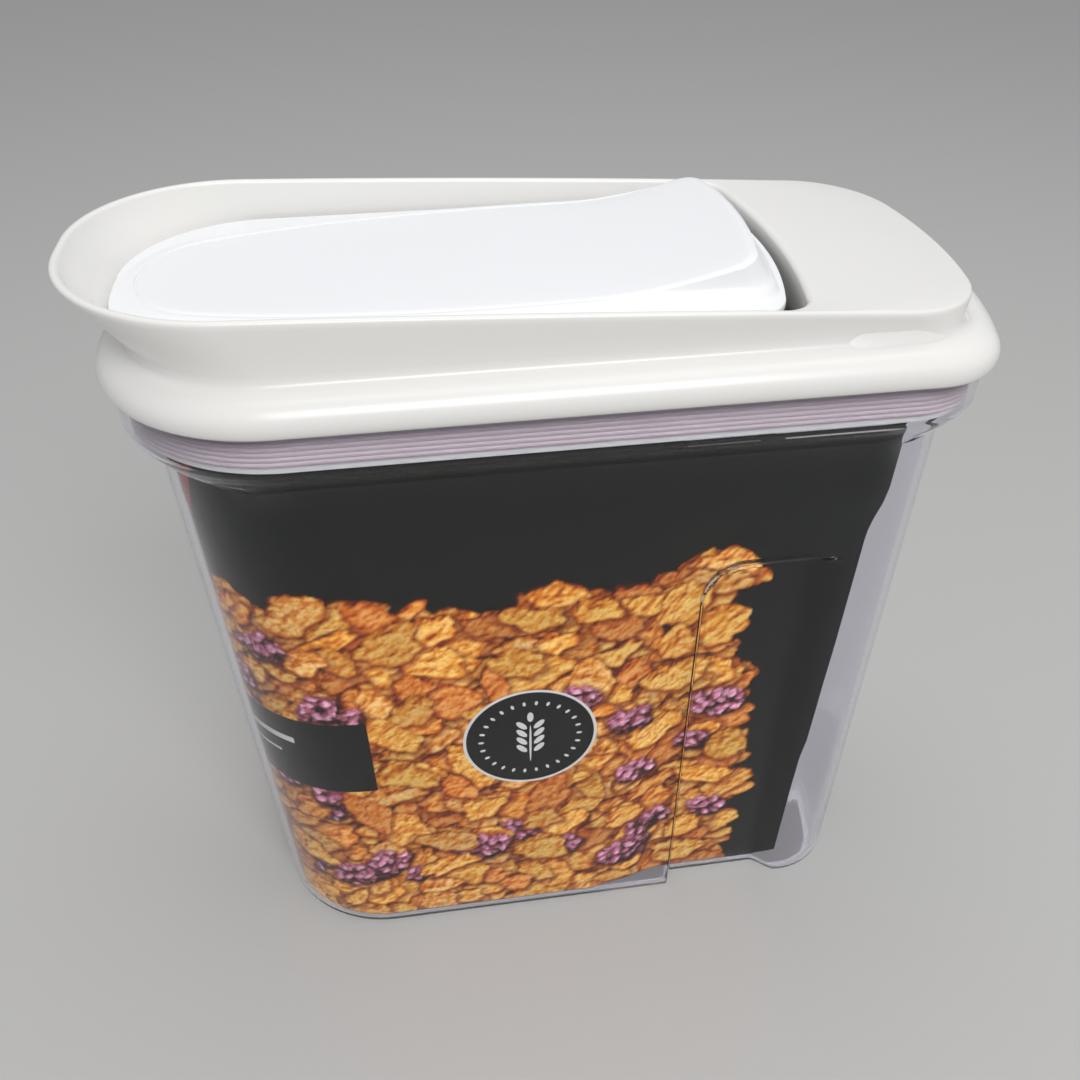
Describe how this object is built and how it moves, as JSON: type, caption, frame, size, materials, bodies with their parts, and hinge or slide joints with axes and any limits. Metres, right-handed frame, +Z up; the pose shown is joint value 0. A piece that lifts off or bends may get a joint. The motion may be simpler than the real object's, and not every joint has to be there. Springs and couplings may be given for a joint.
{
  "type": "cereal keeper with pour flap",
  "caption": "Clear tapered dry-food keeper with a plug-in white lid, a flared pouring collar and a rocker flap pressed open at its thumb tab.",
  "frame": {"origin": "on the surface that the tub stands on, on the long axis, 120 mm behind the front edge of the lid skirt", "axes": "+Z up, -X towards the pouring end, +X towards the handle end, Y across"},
  "size_m": [0.2411, 0.106, 0.2385],
  "materials": {
    "clear_tub": "clear styrene-acrylonitrile, polished",
    "printed_card": "dark printed card with a semi-gloss varnish",
    "white_shell": "gloss white ABS",
    "white_plug": "satin white ABS",
    "white_flap": "satin white ABS",
    "gasket_silicone": "translucent lavender-grey silicone",
    "pin_steel": "bright drawn steel"
  },
  "bodies": {
    "tub": {"container_body": "clear_tub", "insert_card": "printed_card"},
    "lid": {"lid_shell": "white_shell", "lid_plug": "white_plug", "rim_gasket": "gasket_silicone", "gasket_retainer": "white_plug", "hinge_pin": "pin_steel"},
    "flap": {"flap_cover": "white_flap", "flap_liner": "white_plug", "flap_gasket": "gasket_silicone"}
  },
  "joints": [
    {"name": "lid_lift", "type": "slide", "parent": "tub", "child": "lid", "axis": [0, 0, 1], "range_m": [0, 0.06]},
    {"name": "flap_rock", "type": "hinge", "parent": "lid", "child": "flap", "pos_m": [0.0335, 0, 0.219], "axis": [0, 1, 0], "range_deg": [0, 85]}
  ]
}
